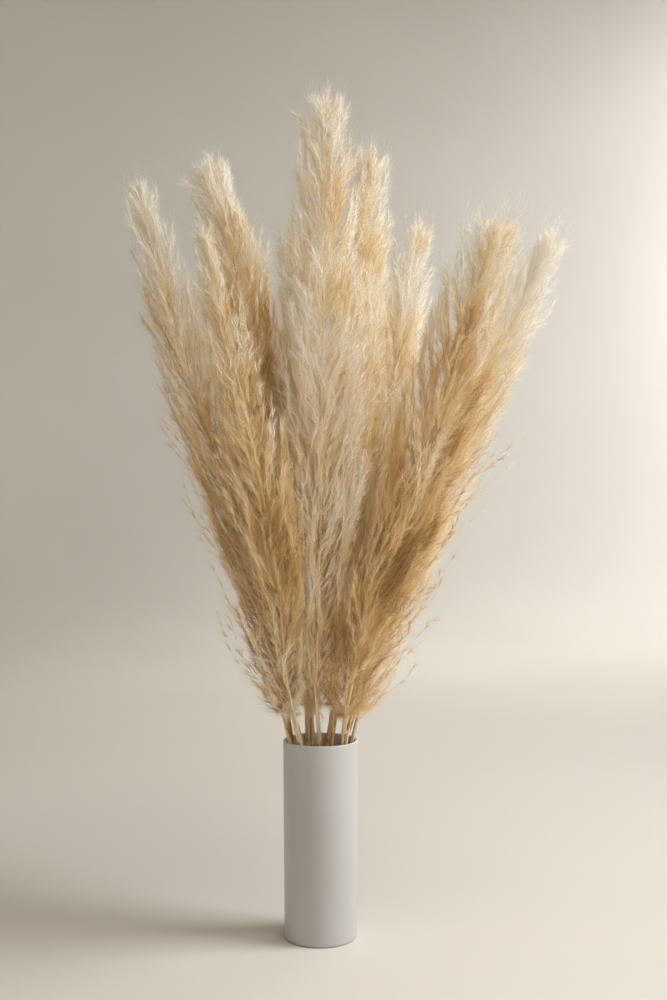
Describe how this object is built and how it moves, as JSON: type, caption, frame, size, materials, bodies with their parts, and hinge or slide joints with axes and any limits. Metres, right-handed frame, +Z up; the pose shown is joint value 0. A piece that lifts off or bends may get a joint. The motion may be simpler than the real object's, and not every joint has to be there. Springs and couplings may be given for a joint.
{
  "type": "bundle of pampas grass in a vase",
  "caption": "Dried pampas grass plumes fanning out of a tall plain cylinder vase that holds their stalks upright; stands on a flat foot as room decoration.",
  "frame": {"origin": "middle of the vase's flat foot, on the surface it stands on", "axes": "+Z up along the vase's axis, +X to the right and -Y to the front as pictured"},
  "size_m": [0.5914, 0.412, 1.126],
  "materials": {
    "vase_glaze": "satin white glaze",
    "stalk_straw": "dried straw, slightly shiny",
    "plume_fluff": "matte, silky dried flower hairs"
  },
  "bodies": {
    "root": {"vase": "vase_glaze", "stem_01": "stalk_straw", "stem_02": "stalk_straw", "stem_03": "stalk_straw", "stem_04": "stalk_straw", "stem_05": "stalk_straw", "stem_06": "stalk_straw", "stem_07": "stalk_straw", "stem_08": "stalk_straw", "stem_09": "stalk_straw", "stem_10": "stalk_straw", "stem_11": "stalk_straw", "plume_01": "plume_fluff", "plume_02": "plume_fluff", "plume_03": "plume_fluff", "plume_04": "plume_fluff", "plume_05": "plume_fluff", "plume_06": "plume_fluff", "plume_07": "plume_fluff", "plume_08": "plume_fluff", "plume_09": "plume_fluff", "plume_10": "plume_fluff", "plume_11": "plume_fluff"}
  },
  "joints": []
}
